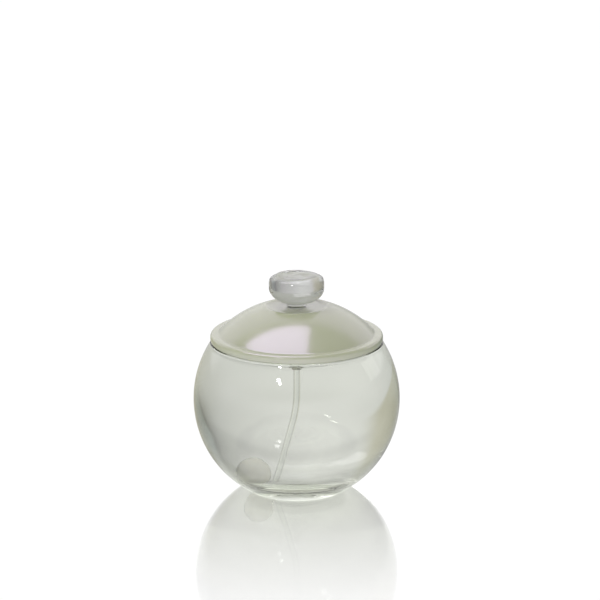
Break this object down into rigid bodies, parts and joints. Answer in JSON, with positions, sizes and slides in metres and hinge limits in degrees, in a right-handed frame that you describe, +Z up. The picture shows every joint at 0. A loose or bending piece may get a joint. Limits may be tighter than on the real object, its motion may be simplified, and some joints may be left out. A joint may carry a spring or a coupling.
{
  "type": "perfume spray bottle",
  "caption": "Ball-shaped clear glass spray bottle with a thick base, crimped pump, dip tube, loose pearl bead, and a lift-off pearly domed lid topped by a clear knob.",
  "frame": {"origin": "centre of the base, on the surface that the bottle stands on", "axes": "+Z up along the bottle's axis; the nozzle points along -Y, the bottle's front"},
  "size_m": [0.074, 0.074, 0.0789],
  "materials": {
    "clear_glass": "clear, polished",
    "liquid": "clear liquid",
    "pearl": "pearly",
    "clear_tube": "clear, smooth",
    "natural_plastic": "moulded, satin",
    "valve_steel": "polished",
    "spring_steel": "drawn wire",
    "seal_plastic": "smooth",
    "seal_rubber": "matt",
    "crimped_aluminium": "rolled, bright",
    "collar_aluminium": "anodised, satin",
    "head_plastic": "moulded, glossy",
    "insert_plastic": "moulded",
    "pearl_plastic": "pearlised, polished",
    "liner_plastic": "moulded",
    "clear_acrylic": "clear, polished"
  },
  "bodies": {
    "bottle": {"glass_bottle": "clear_glass", "perfume": "liquid", "dip_tube": "clear_tube", "pump_housing": "natural_plastic", "return_spring": "spring_steel", "stem_seal": "seal_rubber", "turret": "natural_plastic", "neck_gasket": "seal_rubber", "ferrule": "crimped_aluminium", "lock_ring": "natural_plastic", "collar": "collar_aluminium"},
    "bead": {"pearl": "pearl"},
    "check_valve": {"inlet_ball": "valve_steel"},
    "plunger": {"stem": "natural_plastic", "piston": "seal_plastic"},
    "spray_head": {"actuator": "head_plastic", "nozzle_insert": "insert_plastic"},
    "lid": {"lid_dome": "pearl_plastic", "lid_liner": "liner_plastic", "knob": "clear_acrylic"}
  },
  "joints": [
    {"name": "lid_lift", "type": "slide", "parent": "bottle", "child": "lid", "axis": [0, 0, 1], "range_m": [0, 0.03]},
    {"name": "pump_press", "type": "slide", "parent": "bottle", "child": "plunger", "axis": [0, 0, -1], "range_m": [0, 0.0024], "stiffness_N_per_m": 1500, "springref_m": -0.002, "deforming": ["return_spring"]},
    {"name": "head_turn", "type": "hinge", "parent": "plunger", "child": "spray_head", "pos_m": [0, 0, 0.06], "axis": [0, 0, 1], "continuous": true},
    {"name": "inlet_lift", "type": "slide", "parent": "bottle", "child": "check_valve", "axis": [0, 0, 1], "range_m": [0, 0.0004]},
    {"name": "bead_roll", "type": "hinge", "parent": "bottle", "child": "bead", "pos_m": [0, 0, 0.0123], "axis": [0, 0, 1], "continuous": true}
  ]
}
